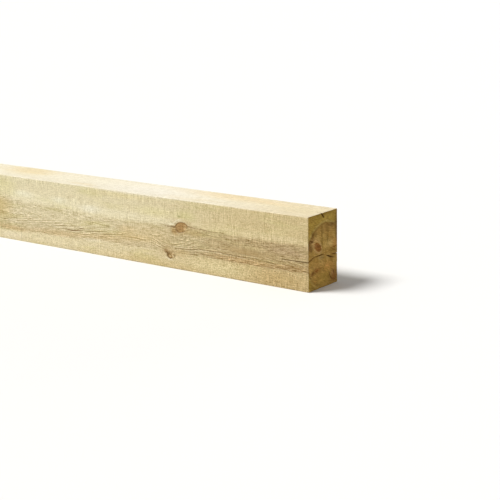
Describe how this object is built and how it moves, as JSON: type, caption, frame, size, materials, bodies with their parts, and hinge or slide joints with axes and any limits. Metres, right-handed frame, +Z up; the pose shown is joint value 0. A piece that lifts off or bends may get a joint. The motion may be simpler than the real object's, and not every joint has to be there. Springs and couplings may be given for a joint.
{
  "type": "railway sleeper",
  "caption": "Rough-sawn, pressure-treated softwood sleeper for edging and low walls, lying on its narrow edge, with drying checks in one end.",
  "frame": {"origin": "middle of the bed face, the narrow long face that the sleeper lies on, at floor level", "axes": "+X along the length, towards the end with the drying checks; +Y from the front long face to the back one; +Z up"},
  "size_m": [2.4, 0.135, 0.2],
  "materials": {
    "treated_softwood": "matte"
  },
  "bodies": {
    "root": {"sleeper": "treated_softwood"}
  },
  "joints": []
}
